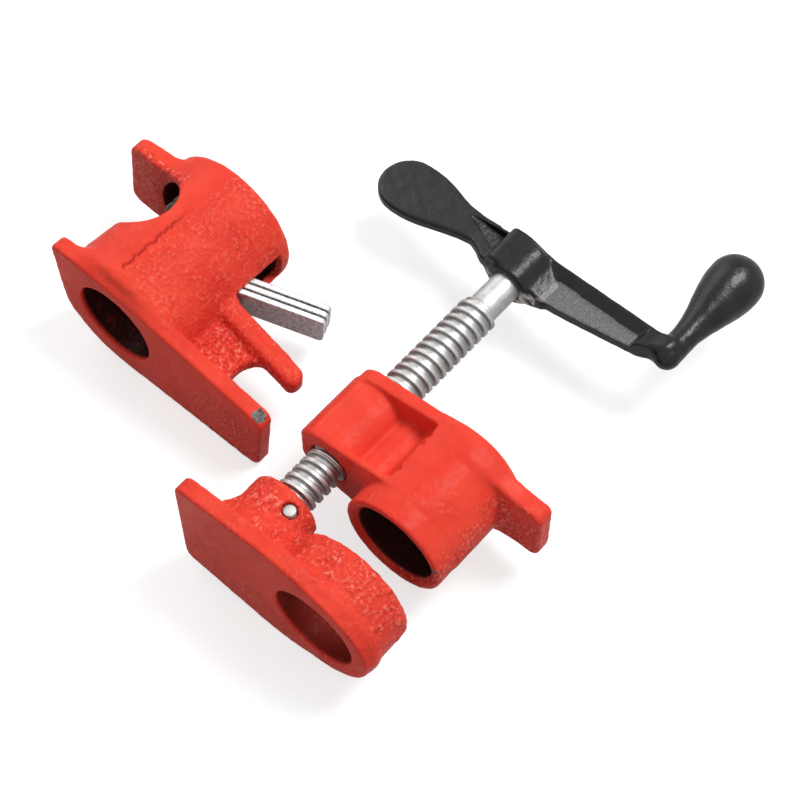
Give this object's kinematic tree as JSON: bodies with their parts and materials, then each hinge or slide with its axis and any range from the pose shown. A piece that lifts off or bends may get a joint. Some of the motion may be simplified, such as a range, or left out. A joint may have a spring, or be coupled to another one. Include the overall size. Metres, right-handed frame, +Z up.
{
  "type": "pipe clamp",
  "caption": "Red cast-iron pipe clamp: fixed head with a crank screw and sliding front jaw, and a sliding tail jaw with clutch plates.",
  "frame": {"origin": "on the axis of the head's pipe thread, at the end of the thread nearest the front jaw, just inside its flare", "axes": "+X along the pipe and the screw from the front jaw to the crank, +Y from the pipe axis to the screw axis and on to the tail jaw, +Z up from the table that both castings lie on"},
  "size_m": [0.173, 0.1768, 0.0484],
  "materials": {
    "red_casting": "gloss red enamel over rough cast iron",
    "black_casting": "semi-gloss black enamel over cast iron",
    "zinc_steel": "bright zinc plate",
    "clutch_steel": "hardened steel, bright edges and dull faces",
    "spring_steel": "dark spring wire"
  },
  "bodies": {
    "head": {"head_casting": "red_casting"},
    "front_jaw": {"front_jaw_casting": "red_casting", "jaw_retaining_pin": "zinc_steel"},
    "screw": {"screw_spindle": "zinc_steel", "crank_handle": "black_casting"},
    "tail_jaw": {"tail_jaw_casting": "red_casting", "clutch_spring": "spring_steel"},
    "clutch": {"clutch_plate_front": "clutch_steel", "clutch_plate_middle": "clutch_steel", "clutch_plate_rear": "clutch_steel"}
  },
  "joints": [
    {"name": "jaw_travel", "type": "slide", "parent": "head", "child": "front_jaw", "axis": [1, 0, 0], "range_m": [-0.03492, 0.0127]},
    {"name": "screw_turn", "type": "hinge", "parent": "front_jaw", "child": "screw", "pos_m": [0, 0.0308, 0], "axis": [1, 0, 0], "range_deg": [-3960, 1440]},
    {"name": "tail_travel", "type": "slide", "parent": "head", "child": "tail_jaw", "axis": [1, 0, 0], "range_m": [-0.1, 0]},
    {"name": "clutch_tilt", "type": "hinge", "parent": "tail_jaw", "child": "clutch", "pos_m": [0.03177, 0.08955, -0.00405], "axis": [0, 0.1188, -0.9929], "range_deg": [0, 21], "stiffness_Nm_per_rad": 0.5, "springref_deg": -17.19, "deforming": ["clutch_spring"]}
  ],
  "couplings": [
    {"joint": "jaw_travel", "follows": "screw_turn", "m_per_rad": 0.00050531}
  ]
}
